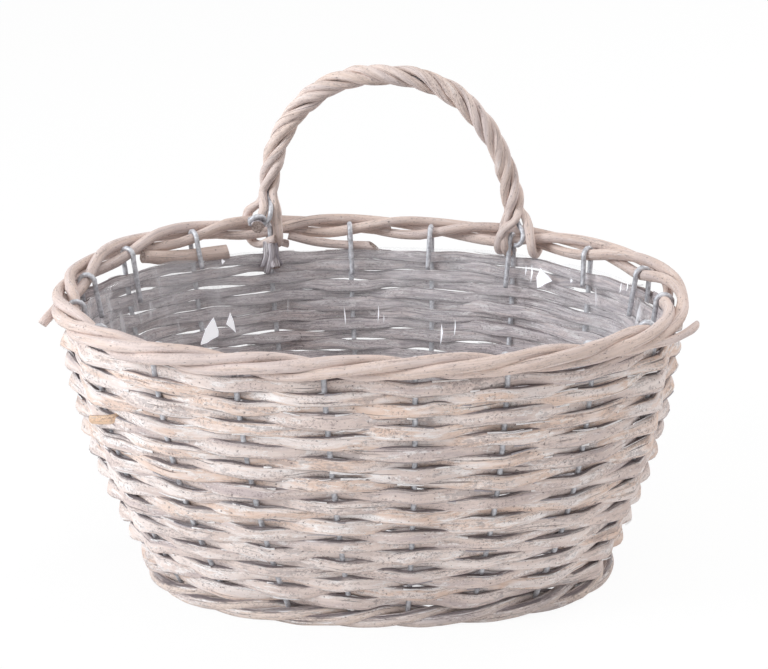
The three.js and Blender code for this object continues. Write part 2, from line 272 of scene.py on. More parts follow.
def noise(vector, scale=1.0, detail=4, roughness=0.55):
    inputs = {"Vector": vector, "Scale": scale, "Detail": detail, "Roughness": roughness}
    return addNode(vector.id_data, "TexNoise", inputs).outputs["Fac"]


def bump(height, strength, distance):
    inputs = {"Height": height, "Strength": strength, "Distance": distance}
    return addNode(height.id_data, "Bump", inputs).outputs["Normal"]


# The willow's noises: repeats in a metre along the rod, repeats round it, detail and roughness
willowNoises = {
    "fibre": (60, 4.4, 4, 0.6),
    "streak": (16, 0.9, 3, 0.55),
    "patch": (48, 1.3, 8, 0.74),
    "mottle": (210, 2.6, 5, 0.8),
    "blotch": (26, 0.9, 3, 0.6),
    "pits": (430, 3.0, 2, 0.5),
    "crack": (15, 4.2, 3, 0.6),
    "ragged": (34, 1.6, 6, 0.75),
    "specks": (560, 4.0, 6, 0.8),
    "speckled": (36, 1.0, 5, 0.7),
}
willowColors = {
    "grain": [(0.32, (190, 182, 181)), (0.5, (238, 235, 234)), (0.62, (255, 255, 255))],
    "inner": (206, 198, 203),
    "innerFibre": (146, 137, 142),
    "lightEdge": (246, 242, 242),
    # Dark stretches along rod edges: painted shade between rods, partly dirt
    "darkEdge": (104, 95, 98),
    # Dark line along the very edges of wall rods: painted contact shadow between rods
    "seam": (112, 102, 105),
    "speck": (126, 110, 108),
    "mark": (92, 82, 82),
    "dirt": (134, 124, 127),
}


# The pattern runs along each rod: its UV is the length in metres and the share of the way round, and rodSeed
# tells the rods apart. On a wall rod, cosine 1 and -1 are its edges and sine -1 the side inside the basket.
def willow(name, look):
    material, tree, shader = newMaterial(name)
    uv = addNode(tree, "UVMap", uv_map="UVMap").outputs["UV"]
    seed = addNode(tree, "Attribute", attribute_name="rodSeed").outputs["Fac"]
    length, turn, _ = addNode(tree, "SeparateXYZ", {"Vector": uv}).outputs
    turn = times(turn, 2 * pi)
    sine, cosine, apart = calc("SINE", turn), calc("COSINE", turn), times(seed, 37.0)

    def rodNoise(name):
        along, around, detail, roughness = willowNoises[name]
        high = addNode(tree, "Math", {0: cosine, 1: around, 2: apart}, operation="MULTIPLY_ADD").outputs[0]
        parts = {"X": times(length, along), "Y": times(sine, around), "Z": high}
        vector = addNode(tree, "CombineXYZ", parts).outputs["Vector"]
        return noise(vector, 1.0, detail, roughness)

    fibre, streak, patch, mottle, blotch, pits, crack, ragged, specks, speckled = map(rodNoise, willowNoises)
    rodTone = addNode(tree, "TexWhiteNoise", {"W": seed}, noise_dimensions="1D").outputs["Value"]
    blend = calc("ADD", times(rodTone, 0.42), fade(streak, 0.32, 0.68, 0.33))
    blend = calc("ADD", blend, fade(blotch, 0.36, 0.64, 0.25))
    places = np.linspace(0.1, 0.9, len(look["tones"]))
    color = colorRamp(blend, [(float(p), c) for p, c in zip(places, look["tones"])])
    color = mixColor(look["grain"], color, colorRamp(fibre, willowColors["grain"]), "MULTIPLY")

    inner = fade(sine, 0.1, -0.35, look["inner"])
    innerFibre = times(inner, fade(fibre, 0.53, 0.44))
    washed = calc("ADD", times(patch, 0.7), times(mottle, 0.3))
    washed = fade(washed, look["washFrom"], look["washFrom"] + 0.04, look["wash"])
    grime = calc("ADD", mottle, times(blotch, 1.1))
    grime = fade(grime, look["grimeFrom"], look["grimeFrom"] + 0.07, look["grime"])
    sideways = calc("ABSOLUTE", cosine)
    edge = fade(sideways, 0.76, 0.92, look["edges"])
    lightEdge = times(edge, fade(ragged, 0.46, 0.42))
    # Ragged dark stretches along the rod edges: painted shade between rods, partly dirt
    darkEdge = times(edge, fade(ragged, 0.48, 0.53))
    # A dark line along the very edges of wall rods: painted contact shadow between rods
    seam = fade(sideways, 0.93, 0.985, look["edges"] * 0.8)
    speck = times(fade(specks, 0.5, 0.58), fade(speckled, 0.48, 0.56, look["speckle"]))
    mark = calc("MAXIMUM", fade(pits, 0.66, 0.71, 0.75), fade(crack, 0.65, 0.68, 0.8))
    mark = times(mark, look["marks"])
    dirt = fade(noise(objectSpace(tree), 24, 5, 0.6), 0.45, 0.75, look["dirt"])
    layers = {
        "inner": inner, "innerFibre": innerFibre, "wash": washed, "grime": grime, "lightEdge": lightEdge,
        "darkEdge": darkEdge, "seam": seam, "speck": speck, "mark": mark, "dirt": dirt,
    }
    for layer, share in layers.items():
        color = mixColor(share, color, willowColors.get(layer) or look[layer + "Color"])

    height = calc("ADD", times(fibre, 0.6), times(mottle, 0.5))
    height = calc("SUBTRACT", calc("ADD", height, times(washed, 0.25)), mark)
    fill(shader, {
        "Base Color": color,
        "Roughness": fade(mottle, 0.3, 0.7, look["roughness"] - 0.08, look["roughness"] + 0.08),
        "Normal": bump(height, look["bump"], 0.6 * mm),
    })
    return material


wallLook = {
    "tones": [(194, 179, 178), (221, 203, 195), (236, 225, 221), (221, 193, 176), (246, 239, 237)],
    "grain": 0.22, "inner": 0.62, "washFrom": 0.53, "wash": 0.6, "washColor": (250, 246, 245),
    "grimeFrom": 1.14, "grime": 0.5, "grimeColor": (148, 135, 134), "edges": 0.9, "marks": 0.9, "dirt": 0.22,
    "speckle": 0.65, "roughness": 0.84, "bump": 0.8,
}
rimLook = wallLook | {
    "tones": [(204, 188, 184), (221, 204, 198), (217, 195, 183), (231, 217, 211)],
    "grain": 0.35, "inner": 0.0, "washFrom": 0.57, "wash": 0.5, "washColor": (245, 239, 238),
    "grimeFrom": 1.2, "grimeColor": (150, 136, 134), "edges": 0.0, "dirt": 0.25, "speckle": 0.4,
    "roughness": 0.78, "bump": 0.6,
}
handleLook = rimLook | {
    "tones": [(208, 193, 190), (229, 213, 207), (224, 203, 191), (240, 226, 221)], "grimeFrom": 1.16,
}
# Lighter tones than the wall's, to offset the shade at the foot: painted light
baseLook = wallLook | {
    "tones": [(194, 182, 182), (216, 202, 197), (224, 205, 193), (220, 208, 204)], "inner": 0.2, "dirt": 0.4,
}
stubLook = wallLook | {
    "tones": [(134, 129, 137), (172, 166, 172), (208, 201, 205)], "inner": 0.0, "dirt": 0.5, "washFrom": 0.55,
}
bareLook = wallLook | {"inner": 0.0, "edges": 0.0, "dirt": 0.0}
frayedLook = bareLook | {"tones": [(236, 230, 230), (250, 247, 247), (244, 236, 232)], "speckle": 0.0}
freshLook = bareLook | {"tones": [(206, 170, 142), (224, 190, 160), (236, 212, 190)], "wash": 0.2}


def cutWood():
    material, tree, shader = newMaterial("cut_wood")
    grain = noise(objectSpace(tree), 900, 3)
    color = colorRamp(grain, [(0.35, (112, 98, 94)), (0.52, (168, 150, 142)), (0.7, (204, 190, 182))])
    fill(shader, {"Base Color": color, "Roughness": 0.9})
    return material


def zincWire():
    material, tree, shader = newMaterial("zinc_wire")
    place = objectSpace(tree)
    mottle = noise(place, 380)
    color = colorRamp(mottle, [(0.3, (150, 150, 155)), (0.5, (188, 188, 193)), (0.7, (220, 220, 224))])
    rough = fade(noise(place, 160, 3), 0, 1, 0.35, 0.65)
    relief = bump(mottle, 0.3, 0.2 * mm)
    fill(shader, {"Base Color": color, "Roughness": rough, "Metallic": 0.3, "Normal": relief})
    return material


# Clear film: hardly there, apart from its glints, which are painted reflections: white spots in the film's
# alpha that also glow faintly. Each has its place x, y and z in mm, half its width and height in mm, its lean
# in degrees, its strength and the softness of its edge.
paintedGlints = [
    (-115, 92, 129, 10, 12, 36, 1.0, 0.08), (-98, 102, 132, -5.5, 8, -11, 1.0, 0.08),
    (-19, 118, 131, 0.9, 9, -3, 0.9, 0.3), (5, 119, 132, 0.9, 8, 2, 0.9, 0.3),
    (9, 119, 129, 0.6, 5, 0, 0.7, 0.3), (50, 113, 119, 1.6, 9, 0, 0.95, 0.25),
    (60, 113, 124, 0.9, 8, 0, 0.9, 0.3),
    (109, 106, 169, 0.9, 5.5, 0, 0.95, 0.3), (113, 104, 168, 1.4, 8, 0, 0.95, 0.3),
    (117, 99, 165, 11, 8, 5, 1.0, 0.1), (139, 89, 167, 2.4, 2.4, 0, 0.9, 0.6),
    (181, 34, 162, 9, 14, 10, 0.6, 0.9), (170, 58, 172, 1.1, 4.5, 0, 0.9, 0.3),
    (174, 52, 175, 1.1, 4.5, 0, 0.9, 0.3),
    (-120, 101, 177, 6, 2, -8, 0.85, 0.2), (-105, 108, 175, 3, 2.4, 0, 0.85, 0.2),
    (156, 74, 160, 3.5, 14, -12, 0.4, 0.9), (-150, 70, 152, 8, 16, 14, 0.3, 0.9),
    (130, 95, 178, 22, 1.2, -6, 0.9, 0.5), (150, 84, 172, 9, 5, -10, 0.35, 0.9),
    (-60, 116, 140, 2, 16, 6, 0.25, 0.9),
]
paintedGlintDepth = 14
filmWhite = (250, 250, 254)

def clearFilm():
    material, tree, shader = newMaterial("clear_film")
    place = objectSpace(tree)
    jag = noise(place, 120, 1, 0.5)
    # Whitish diagonal crease streaks, stronger at the left end: partly the film's own crease whitening,
    # partly painted reflection
    slanted = {"Vector": place, "Rotation": (math.radians(-35), math.radians(25), 0), "Scale": (90, 90, 14)}
    slanted = addNode(tree, "Mapping", slanted).outputs["Vector"]
    creasesAndSheen = fade(noise(slanted, 1.0, 4, 0.6), 0.52, 0.66, 0.26)
    x = addNode(tree, "SeparateXYZ", {"Vector": place}).outputs["X"]
    leftCreasesAndSheen = times(fade(x, -80 * mm, -160 * mm), calc("ADD", creasesAndSheen, 0.06))
    hazeAndSheen = calc("ADD", fade(noise(place, 16), 0.35, 0.75, 0.18), leftCreasesAndSheen)
    paintedGlint = 0.0
    for x, y, z, halfWidth, halfHeight, lean, strength, softness in paintedGlints:
        spot = addNode(tree, "Mapping", {
            "Vector": place,
            "Location": Vector((x, y, z)) * mm,
            "Rotation": (0, math.radians(lean), math.atan2(y, x * 0.5) - pi / 2),
            "Scale": Vector((halfWidth, paintedGlintDepth, halfHeight)) * mm,
        }, vector_type="TEXTURE")
        parts = addNode(tree, "SeparateXYZ", {"Vector": spot.outputs["Vector"]}).outputs
        sideways = calc("MAXIMUM", parts["X"], times(parts["X"], -6))  # one end is blunt
        away = calc("ADD", sideways, calc("ABSOLUTE", parts["Z"]))
        away = calc("MAXIMUM", away, calc("ABSOLUTE", parts["Y"]))
        away = calc("ADD", away, times(calc("SUBTRACT", jag, 0.5), 0.5))
        paintedGlint = calc("MAXIMUM", fade(away, 1, 1 - softness, strength), paintedGlint)
    # The glints show as white alpha with a faint glow: painted reflection
    fill(shader, {
        "Base Color": tone(filmWhite), "Roughness": 0.1, "Specular IOR Level": 0.8,
        "Alpha": calc("MAXIMUM", calc("ADD", hazeAndSheen, 0.02), paintedGlint),
        "Emission Color": tone(filmWhite), "Emission Strength": times(paintedGlint, 0.3),
    })
    return material


materials = {
    "wallWillow": willow("wall_willow", wallLook),
    "rimWillow": willow("rim_willow", rimLook),
    "handleWillow": willow("handle_willow", handleLook),
    "baseWillow": willow("base_willow", baseLook),
    "stubWillow": willow("weathered_willow", stubLook),
    "frayedWillow": willow("frayed_willow", frayedLook),
    "freshWillow": willow("fresh_willow", freshLook),
    "cutWood": cutWood(),
    "zincWire": zincWire(),
    "clearFilm": clearFilm(),
}

# One straight rod is modelled for each count of sides and sections, and its copies are laid along paths
straightRods = {}
endNormal = 0.9


def setMode(mode):
    bpy.ops.object.mode_set(mode=mode)


def straightRod(sides, sections):
    if (sides, sections) in straightRods:
        return straightRods[sides, sections]
    bpy.ops.mesh.primitive_cylinder_add(vertices=sides, radius=1, depth=1, end_fill_type="NGON")
    rod = bpy.context.object
    rod.name = f"straight_rod_{sides}_{sections}"
    for cuts in ([sections - 1] if sections <= 100 else [1, sections // 2 - 1]):  # 100 cuts are the most
        for part in (rod.data.vertices, rod.data.polygons):
            part.foreach_set("select", [False] * len(part))
        for edge in rod.data.edges:
            low, high = (rod.data.vertices[i].co.z for i in edge.vertices)
            edge.select = abs(high - low) > 0.1
        setMode("EDIT")
        bpy.ops.mesh.select_mode(type="EDGE")
        bpy.ops.mesh.subdivide(number_cuts=cuts)
        bpy.ops.mesh.select_mode(type="FACE")
        bpy.ops.mesh.select_all(action="DESELECT")
        setMode("OBJECT")
    for face in rod.data.polygons:
        face.select = abs(face.normal.z) > endNormal
    setMode("EDIT")
    bpy.ops.mesh.inset(thickness=0.3)
    setMode("OBJECT")
    for face in rod.data.polygons:
        face.use_smooth = abs(face.normal.z) < endNormal
    scene.collection.objects.unlink(rod)
    straightRods[sides, sections] = rod
    return rod


def verticesOf(thing):
    places = np.zeros(len(thing.data.vertices) * 3)
    thing.data.vertices.foreach_get("co", places)
    return places.reshape(-1, 3)


# A path has its points and the direction that is out at each. A split rod is rounded outside, flat inside.
def layRod(path, width, thickness, sides, material, seed,
           split=False, roll=0.0, lumps=0.03, knots=0, slant=(0, 0)):
    sections = len(path["at"]) - 1
    template = straightRod(sides, sections)
    rod = template.copy()
    rod.data = template.data.copy()
    scene.collection.objects.link(rod)
    local = verticesOf(rod)
    count = len(local)
    station = np.rint((local[:, 2] + 0.5) * sections).astype(int)
    angle = np.arctan2(local[:, 1], local[:, 0])
    share = np.hypot(local[:, 0], local[:, 1])

    tangent = unit(np.gradient(path["at"], axis=0))
    out = unit(path["out"] - tangent * (path["out"] * tangent).sum(-1, keepdims=True))
    up = np.cross(out, tangent)
    distance = lengthsAlong(path["at"])

    rng = np.random.default_rng(int(seed * 1000) + 7)
    swell = np.ones(count)
    for fold, size in ((2, 1.0), (3, 0.8), (5, 0.4)):
        drift = waver(rng, distance, 0.11, 2.2)[station]
        swell += lumps * size * np.sin(fold * angle + rng.uniform(0, 2 * pi) + drift)
    for _ in range(knots):
        where = rng.uniform(0.06, 0.94) * distance[-1]
        side = rng.uniform(0, 2 * pi)
        near = np.exp(-((distance[station] - where) / (4.5 * mm)) ** 2)
        swell += 0.22 * near * (0.5 + 0.5 * np.cos(angle - side)) ** 2

    width = np.broadcast_to(width, len(distance))[station] * swell * share
    thickness = np.broadcast_to(thickness, len(distance))[station] * swell * share
    c, s = np.cos(angle), np.sin(angle)
    across, deep = c * width / 2, s * thickness / 2
    if split:
        across = np.sign(c) * np.abs(c) ** 0.7 * width / 2
        deep = np.where(s > 0, 0.6 * np.abs(s) ** 0.72, -0.4 * np.abs(s) ** 0.55) * thickness
    tilt = np.broadcast_to(roll, len(distance))[station]
    across, deep = across * np.cos(tilt) - deep * np.sin(tilt), across * np.sin(tilt) + deep * np.cos(tilt)
    ahead = (np.where(station == 0, slant[0], 0) + np.where(station == sections, slant[1], 0)) * across
    points = path["at"][station] + up[station] * across[:, None] + out[station] * deep[:, None]
    points = points + tangent[station] * ahead[:, None]
    rod.data.vertices.foreach_set("co", points.ravel())

    loops = len(rod.data.loops)
    corner = np.zeros(loops, int)
    rod.data.loops.foreach_get("vertex_index", corner)
    around = (angle[corner] / (2 * pi)) % 1
    starts = np.zeros(len(rod.data.polygons), int)
    rod.data.polygons.foreach_get("loop_start", starts)
    face = np.repeat(np.arange(len(starts)), np.diff(np.append(starts, loops)))
    around = around + ((np.maximum.reduceat(around, starts)[face] - around) > 0.5)
    uv = np.stack([distance[station[corner]] + seed, around], -1)
    rod.data.uv_layers[0].name = "UVMap"
    rod.data.uv_layers[0].data.foreach_set("uv", uv.ravel())
    attribute = rod.data.attributes.new("rodSeed", "FLOAT", "POINT")
    attribute.data.foreach_set("value", np.full(count, seed))

    rod.data.materials.clear()
    for slot in (material, "zincWire" if material == "zincWire" else "cutWood"):
        rod.data.materials.append(materials[slot])
    onEnd = [int(abs(face.normal.z) > endNormal) for face in template.data.polygons]
    rod.data.polygons.foreach_set("material_index", onEnd)
    rod.data.update()
    return rod


def joined(kind, parts, node, name=None):
    bpy.ops.object.select_all(action="DESELECT")
    for part in parts:
        part.select_set(True)
    bpy.context.view_layer.objects.active = parts[0]
    if len(parts) > 1:
        bpy.ops.object.join()
    piece = bpy.context.view_layer.objects.active
    piece.name = piece.data.name = name or f"{kind}_{node}"
    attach(piece, "root")
    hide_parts(node)


# A smooth line through the points, with outs the direction that is out at each of them
def smoothPath(points, sections, outs=None):
    points = np.array(points, float)
    steps = np.linalg.norm(np.diff(points, axis=0), axis=1) ** 0.5
    knots = np.concatenate([[0], np.cumsum(steps)])
    padded = np.vstack([2 * points[0] - points[1], points, 2 * points[-1] - points[-2]])
    gaps = np.concatenate([[steps[0]], steps, [steps[-1]]])
    where = np.linspace(0, knots[-1], 1600)
    index = np.clip(np.searchsorted(knots, where, side="right") - 1, 0, len(points) - 2)
    p0, p1, p2, p3 = (padded[index + k] for k in range(4))
    d0, d1, d2 = (gaps[index + k][:, None] for k in range(3))
    t = ((where - knots[index]) / steps[index])[:, None]
    m1 = d1 * ((p1 - p0) / d0 - (p2 - p0) / (d0 + d1) + (p2 - p1) / d1)
    m2 = d1 * ((p2 - p1) / d1 - (p3 - p1) / (d1 + d2) + (p3 - p2) / d2)
    curve = (2 * t**3 - 3 * t**2 + 1) * p1 + (t**3 - 2 * t**2 + t) * m1
    curve = curve + (3 * t**2 - 2 * t**3) * p2 + (t**3 - t**2) * m2
    length = lengthsAlong(curve)
    even = np.linspace(0, length[-1], sections + 1)
    at = pointsAt(even, length, curve)
    if outs is not None:
        return {"at": at, "out": unit(pointsAt(np.interp(even, length, where), knots, outs))}
    # Without directions, one is carried along the path without turning
    side = np.array((0.31, 0.23, 0.11))
    sides = []
    for direction in unit(np.gradient(at, axis=0)):
        side = unit(side - direction * np.dot(side, direction))
        sides.append(side)
    return {"at": at, "out": np.array(sides)}


# A short rod through the points, with its radius in mm at either end
def shortRod(points, outs, radii, material, seed, sections=14, sides=12, flatness=1.0, **shape):
    girth = 2 * mm * np.linspace(*radii, sections + 1)
    path = smoothPath(points, sections, outs)
    return layRod(path, girth, girth * flatness, sides, material, seed, **shape)


# Wall rods, in front of one stake and behind the next, with their ends tucked behind a stake
def rowHeight(bays):
    woven = np.clip(bays - weave["firstBay"], 0, None)
    turn = np.floor(woven / stake["count"])
    climb = smoothstep(woven - turn * stake["count"], stake["count"] - weave["climbBays"], stake["count"])
    pitch = rowPitch - weave["backDrop"] / weave["rows"] * backShare(bays)
    row = turn + 0.5 + climb
    return weaveBottom + pitch * row + weave["lowerRowsUp"] * np.sin(pi * row / weave["rows"])


def wallRod(first, last, seed):
    rng = np.random.default_rng(int(seed * 1000))
    sections = 2 * round((last - first) * weave["sectionsPerBay"] / 2)
    bays = np.linspace(first, last, sections + 1)
    distance = (bays - first) * bayLength
    swing = np.sin(pi * bays)
    bend = swing * 0.6 + np.arcsin(swing) * 0.8 / pi
    crown = np.abs(bend) ** 1.2
    endShare = smoothstep(np.abs(wallFrame(bays, wall["rimHeight"] / 2)["out"][:, 0]), 0.5, 0.95)
    bend = bend * (1 - endShare * (1 - np.abs(bend)))
    begun = smoothstep(bays - first, 0, weave["taper"])
    left = smoothstep(last - bays, 0, weave["taper"])
    height = rowHeight(bays) + waver(rng, distance, *weave["unevenHeight"])
    height = height + (begun - left) * weave["endDrop"]
    place = wallFrame(bays, height)
    outReach = weave["outwards"] + weave["endBulge"] * endShare
    reach = weaveReach * bend * np.where(bend > 0, outReach, weave["inwards"])
    reach = reach + waver(rng, distance, *weave["unevenReach"]) - (1 - begun) * weave["endTuck"]

    x, y = (place["at"] - middle)[:, 0], (place["at"] - middle)[:, 1]
    widest = np.where(bend > 0, weave["crownWidth"], weave["behindWidth"])
    nearFoot = 1 - smoothstep(height, weaveBottom, weaveBottom + 4 * rowPitch)
    backLeft = smoothstep(-x, 60 * mm, 120 * mm) * smoothstep(y, 0, 50 * mm)
    width = between(weave["crossingWidth"], widest, crown)
    width = width * (1 - (weave["backNarrowing"] + rng.uniform(0, 0.08)) * backShare(bays))
    width = width * (1 + weave["footWidening"] * nearFoot)
    width = width * (1 + weave["endWidening"] * endShare * smoothstep(np.abs(bend), 0, 0.8))
    width = width * (1 - weave["leftNarrowing"] * backLeft)
    width = width * (1 + waver(rng, distance, *weave["unevenWidth"])) * rng.uniform(0.9, 1.06)
    width = width * (0.4 + 0.6 * begun * left)
    thickness = 1 + waver(rng, distance, *weave["unevenThickness"])
    thickness = weave["shownThickness"] * thickness * (0.3 + 0.7 * begun * left)
    path = {"at": inFrame(place, reach, 0 * reach), "out": place["out"]}
    overhang = weave["overhang"] + weave["endOverhang"] * endShare
    roll = waver(rng, distance, *weave["unevenRoll"]) - smoothstep(bend, 0, 0.9) * overhang
    rod = layRod(path, width, thickness, weave["sides"], "wallWillow", seed, True, roll, 0.055, knots=5)
    return [rod, *splinters(path, width, roll, rng, seed)]


# Torn fibres that stand off a rod's edges. Each starts at the edge and strays across and outwards, in mm.
splinter = {
    "perRod": 14, "edge": 0.46, "strays": (-0.6, 1.6), "depth": 1.5 * mm, "lifts": (-0.4, 1.4),
    "girths": (0.8, 1.6),
}


def splinters(path, width, roll, rng, seed):
    shreds = []
    for k in range(splinter["perRod"]):
        count = rng.integers(2, 6)
        index = rng.integers(4, len(path["at"]) - 10)
        picks = np.arange(index, index + count)[::rng.choice([-1, 1])]
        at, out = path["at"][picks], path["out"][picks]
        up = unit(np.cross(out, np.gradient(at, axis=0))) * np.sign(picks[-1] - picks[0])
        side = rng.choice([-1, 1])
        share = np.linspace(0, 1, count)[:, None]
        stray = rng.uniform(*splinter["strays"]) * mm * share ** 2
        across = side * (width[picks, None] * splinter["edge"] + stray)
        deep = splinter["depth"] + rng.uniform(*splinter["lifts"]) * mm * share ** 2
        turned = roll[picks, None]
        points = at + up * (across * np.cos(turned) - deep * np.sin(turned))
        points = points + out * (across * np.sin(turned) + deep * np.cos(turned))
        line = smoothPath(points, 4 * count, out)
        girth = rng.uniform(*splinter["girths"]) * mm * np.linspace(1, 0.35, 4 * count + 1)
        material = str(rng.choice(["frayedWillow", "frayedWillow", "stubWillow"]))
        shreds.append(layRod(line, girth * 1.3, girth * 0.7, 6, material, seed + 0.37 * k, lumps=0.0))
    return shreds


# A rod's thick end, cut off in front of a stake
def cutEnd():
    end = weave["cutEnd"]
    place = wallFrame(np.linspace(*end["bays"], 9), np.linspace(*end["heights"], 9))
    out = end["out"] * np.linspace(0, 1, 9) ** 0.5
    path = {"at": inFrame(place, out, 0 * out), "out": place["out"]}
    girth = end["width"] * np.linspace(1, 0.95, 9)
    return layRod(path, girth, girth * 0.8, weave["sides"], "freshWillow", seed=12.5, lumps=0.05)


lastWovenBay = weave["firstBay"] + weave["rows"] * stake["count"] - weave["climbBays"]
nodeCount = math.ceil((lastWovenBay - weave["firstBay"]) / weave["baysPerNode"])
seeds = np.random.default_rng(11).uniform(0, 40, 60)
rodNumber = 0
for i in range(nodeCount):
    start = weave["firstBay"] - 0.5 + i * weave["baysPerNode"]
    stop = min(start + weave["baysPerNode"], lastWovenBay)
    rods = []
    while start < stop - 1:
        end = min(start + weave["baysPerRod"], stop)
        rods.extend(wallRod(start - weave["overlap"], end + weave["overlap"], seeds[rodNumber]))
        rodNumber += 1
        start = end
    if i == weave["cutEnd"]["node"]:
        rods.append(cutEnd())
    joined("willow", rods, f"weaver_{i + 1:02d}")
print("wall rods", rodNumber)


# Rim and foot border: three strands that follow each other round, so a turn of one leads into the next.
# Each runs outside two stakes and inside the third, so it takes longer over the outer half of its twist.
def strandPlace(ring, turnedBays, stretch):
    phase = 2 * pi * (turnedBays - 0.5) / border["strands"]
    angle = pi + phase + border["outerDwell"] * np.sin(phase)
    return ring["middle"] + ring["wide"] * np.cos(angle), stretch * ring["high"] * np.sin(angle)


def strandRod(ring, frameAt, first, last, radius, stretch, material, seed, floor=False):
    rng = np.random.default_rng(int(seed * 1000))
    sections = 2 * round((last - first) * border["sectionsPerBay"] / 2)
    bays = np.linspace(first, last, sections + 1)
    distance = (bays - first) * bayLength
    out, up = strandPlace(ring, bays, stretch)
    begun = smoothstep(bays - first, 0, 0.6)
    left = smoothstep(last - bays, 0, 1.0)
    inwards = 1 - 0.3 * (1 - begun) - 0.3 * (1 - left)
    out = between(ring["middle"], out, inwards) + waver(rng, distance, *border["unevenOut"])
    up = up * inwards + waver(rng, distance, *border["unevenUp"])
    place = frameAt(bays)
    thinning = 1.05 - 0.1 * (bays - first) / (last - first)
    girth = 2 * radius * thinning * (0.8 + 0.2 * begun) * (0.45 + 0.55 * left)
    girth = girth * (1 + waver(rng, distance, *border["unevenGirth"]))
    path = {"at": inFrame(place, out, up), "out": place["out"]}
    rod = layRod(path, girth, girth * 0.95, border["sides"], material, seed, lumps=0.035, knots=6)
    if floor:  # worn flat where it stands
        for vertex in rod.data.vertices:
            vertex.co.z = max(vertex.co.z, 0)
    return rod


# Places round the rim where the strands' rods end, under the twist where their tips don't show
rodEnds = [1.25, 10.25, 19.25, 28.25, 40.25, 49.25, 58.25]


def strandRods(ring, frameAt, radius, stretch, material, seed, floor=False):
    groups = [[] for _ in range(border["strands"])]
    for k in range(len(rodEnds) - 1):
        first, last = rodEnds[k] - 0.25, rodEnds[k + 1] + 0.5
        rod = strandRod(ring, frameAt, first, last, radius, stretch, material, seed + 1.7 * k, floor)
        halfway = (rodEnds[k] + rodEnds[k + 1]) / 2 % (border["strands"] * stake["count"])
        groups[int(halfway // stake["count"])].append(rod)
    return groups


# Rods that end beside the rim or on the wall: the strand they join, the radius in mm, the slant of the cut,
# and places in bays and mm out and up from the rim's middle
stubs = [
    (0, 5.0, 0.2, [(12.2, -3, -7), (11.75, -7, -11), (11.4, -9.5, -11.2), (11.05, -10.5, -10.7)]),
    (1, 3.3, 1.2, [(10.25, -3, -5), (9.9, -7, -8.5), (9.5, -9, -9.5), (9.2, -9.5, -9.5)]),
    (2, 3.3, 0.6, [(14.0, 4, -3), (14.35, 8, -7), (14.5, 11.5, -9.5), (14.56, 14, -13)]),
    (2, 2.6, 0.8, [(3.1, 3, -5), (3.4, 8.5, -7.5), (3.68, 12.3, -8.5), (3.9, 16, -8.5)]),
]


def rimStub(radius, slant, places, seed):
    points, outs = [], []
    for bays, out, up in places:
        place = rimFrame(np.array(bays))
        points.append(inFrame(place, out * mm, up * mm))
        outs.append(place["out"])
    return shortRod(points, outs, (0.9 * radius, radius), "rimWillow", seed, 20, 14, 0.94,
                    knots=1, slant=(0, slant))


closeRing = dict(rimRing, wide=rimRing["wide"] * border["rimTightness"])
rimGroups = strandRods(closeRing, rimFrame, border["rimRadius"], border["rimStretch"], "rimWillow", seed=50.0)
for k, (strand, *stub) in enumerate(stubs):
    rimGroups[strand].append(rimStub(*stub, seed=62 + 1.3 * k))
tightRing = footRing | {
    "wide": footRing["wide"] * border["footTightness"], "middle": footRing["middle"] + border["footOutwards"],
}
footGroups = strandRods(tightRing, footFrame, border["shownFootRadius"], border["footTightness"],
                        "baseWillow", seed=80.0, floor=True)
for k in range(border["strands"]):
    joined("willow", rimGroups[k], f"rim_strand_{k + 1}")
    joined("willow", footGroups[k], f"foot_strand_{k + 1}")
print("rim and foot border")


# Wire stakes, up the wall, over the rim's inner rod and down inside
def wireRod(points, sections, seed):
    girth = 2 * stake["shownRadius"]
    return layRod(smoothPath(points, sections), girth, girth, stake["sides"], "zincWire", seed, lumps=0.02)


def stakeWire(i):
    rng = np.random.default_rng(300 + i)
    bays = i + 0.5
    heights = (stake["toFloor"], footHeight, *np.linspace(weaveBottom, weaveTop, 8))
    points = [wallPoint(bays, height) for height in heights]
    rim = rimFrame(bays)
    lean = rng.uniform(-1.2, 1.2) * mm
    reach = rimRing["reach"]
    for k in range(9):
        angle = pi * k / 8
        points.append(inFrame(rim, reach * (math.cos(angle) - 1), reach * math.sin(angle), lean * k / 8))
    tail = stake["hookTail"] * stake["tailShares"][i % len(stake["tailShares"])]
    wallUp, wallOut = (wallFrame(bays, wall["rimHeight"])[key] for key in ("up", "out"))
    hookEnd = points[-1]
    for part in (0.4, 0.75, 1):
        down = wallUp * part * tail + wallOut * part * 1.2 * mm
        points.append(hookEnd - down + rim["along"] * part * lean * 2)
    return wireRod(points, 90, 200 + i)


for i in range(stake["count"]):
    joined("wire", [stakeWire(i)], f"stake_{i + 1:02d}")
print("stakes")

